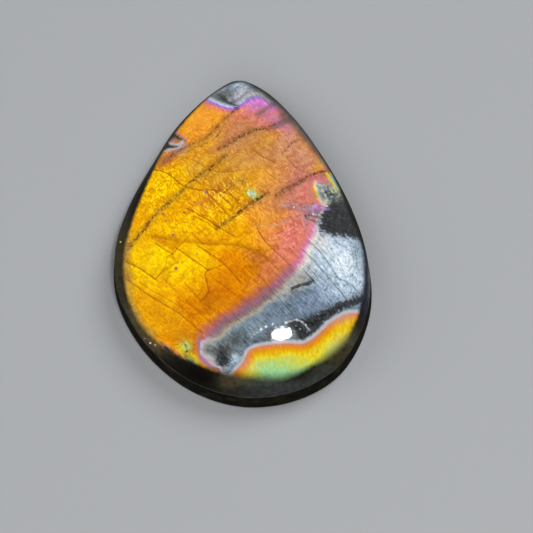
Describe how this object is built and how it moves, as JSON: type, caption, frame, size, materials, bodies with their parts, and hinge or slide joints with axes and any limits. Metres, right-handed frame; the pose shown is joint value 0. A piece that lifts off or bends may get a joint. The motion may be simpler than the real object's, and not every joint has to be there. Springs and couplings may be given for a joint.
{
  "type": "labradorite cabochon",
  "caption": "Pear-shaped polished stone with a domed top and a flat back, for setting in a bezel or resting on a surface.",
  "frame": {"origin": "middle of the flat back, below the middle of the outline", "axes": "+Z out of the flat back, up through the dome; +Y along the stone, towards its point; +X to the right with the point up and the dome facing the viewer"},
  "size_m": [0.0304, 0.0404, 0.0085],
  "materials": {
    "labradorite": "polished to a clear gloss, grey-green body with a sheet of colour under the surface"
  },
  "bodies": {
    "root": {"labradorite_cabochon": "labradorite"}
  },
  "joints": []
}
